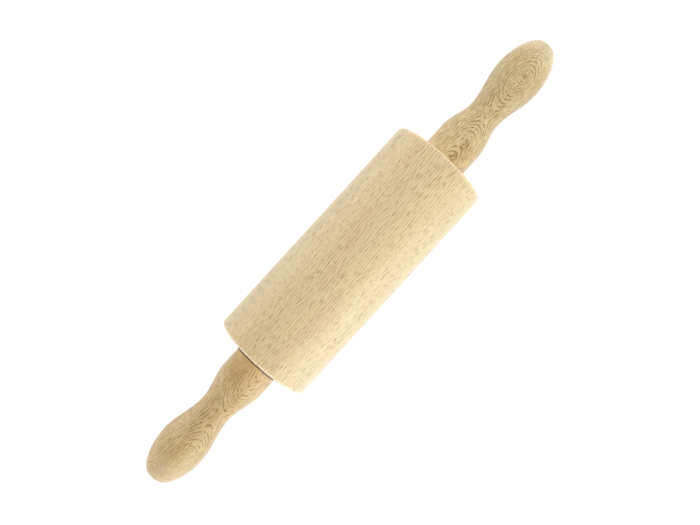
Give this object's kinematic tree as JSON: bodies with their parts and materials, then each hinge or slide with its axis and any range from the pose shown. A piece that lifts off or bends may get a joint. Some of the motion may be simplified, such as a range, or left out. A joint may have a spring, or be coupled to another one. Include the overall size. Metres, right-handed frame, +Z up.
{
  "type": "rolling pin",
  "caption": "Small turned beech rolling pin: a cylinder roller that spins freely on a steel rod between waisted, bulb-ended handles.",
  "frame": {"origin": "on the table, under the middle of the roller's length", "axes": "+X along the pin towards the right handle, +Z up, +Y across the pin"},
  "size_m": [0.2458, 0.045, 0.0449],
  "materials": {
    "roller_beech": "pale beech, fine sanded and lightly oiled",
    "handle_beech": "turned beech, sanded and lightly oiled",
    "bright_steel": "bright drawn rod",
    "white_nylon": "natural moulded nylon",
    "zinc_plate": "bright zinc plate"
  },
  "bodies": {
    "handles": {"axle": "bright_steel", "left_handle": "handle_beech", "right_handle": "handle_beech", "left_washer": "zinc_plate", "right_washer": "zinc_plate"},
    "roller": {"roller": "roller_beech", "left_bush": "white_nylon", "right_bush": "white_nylon"}
  },
  "joints": [
    {"name": "roller_spin", "type": "hinge", "parent": "handles", "child": "roller", "pos_m": [0, 0, 0.02247], "axis": [1, 0, 0], "continuous": true}
  ]
}
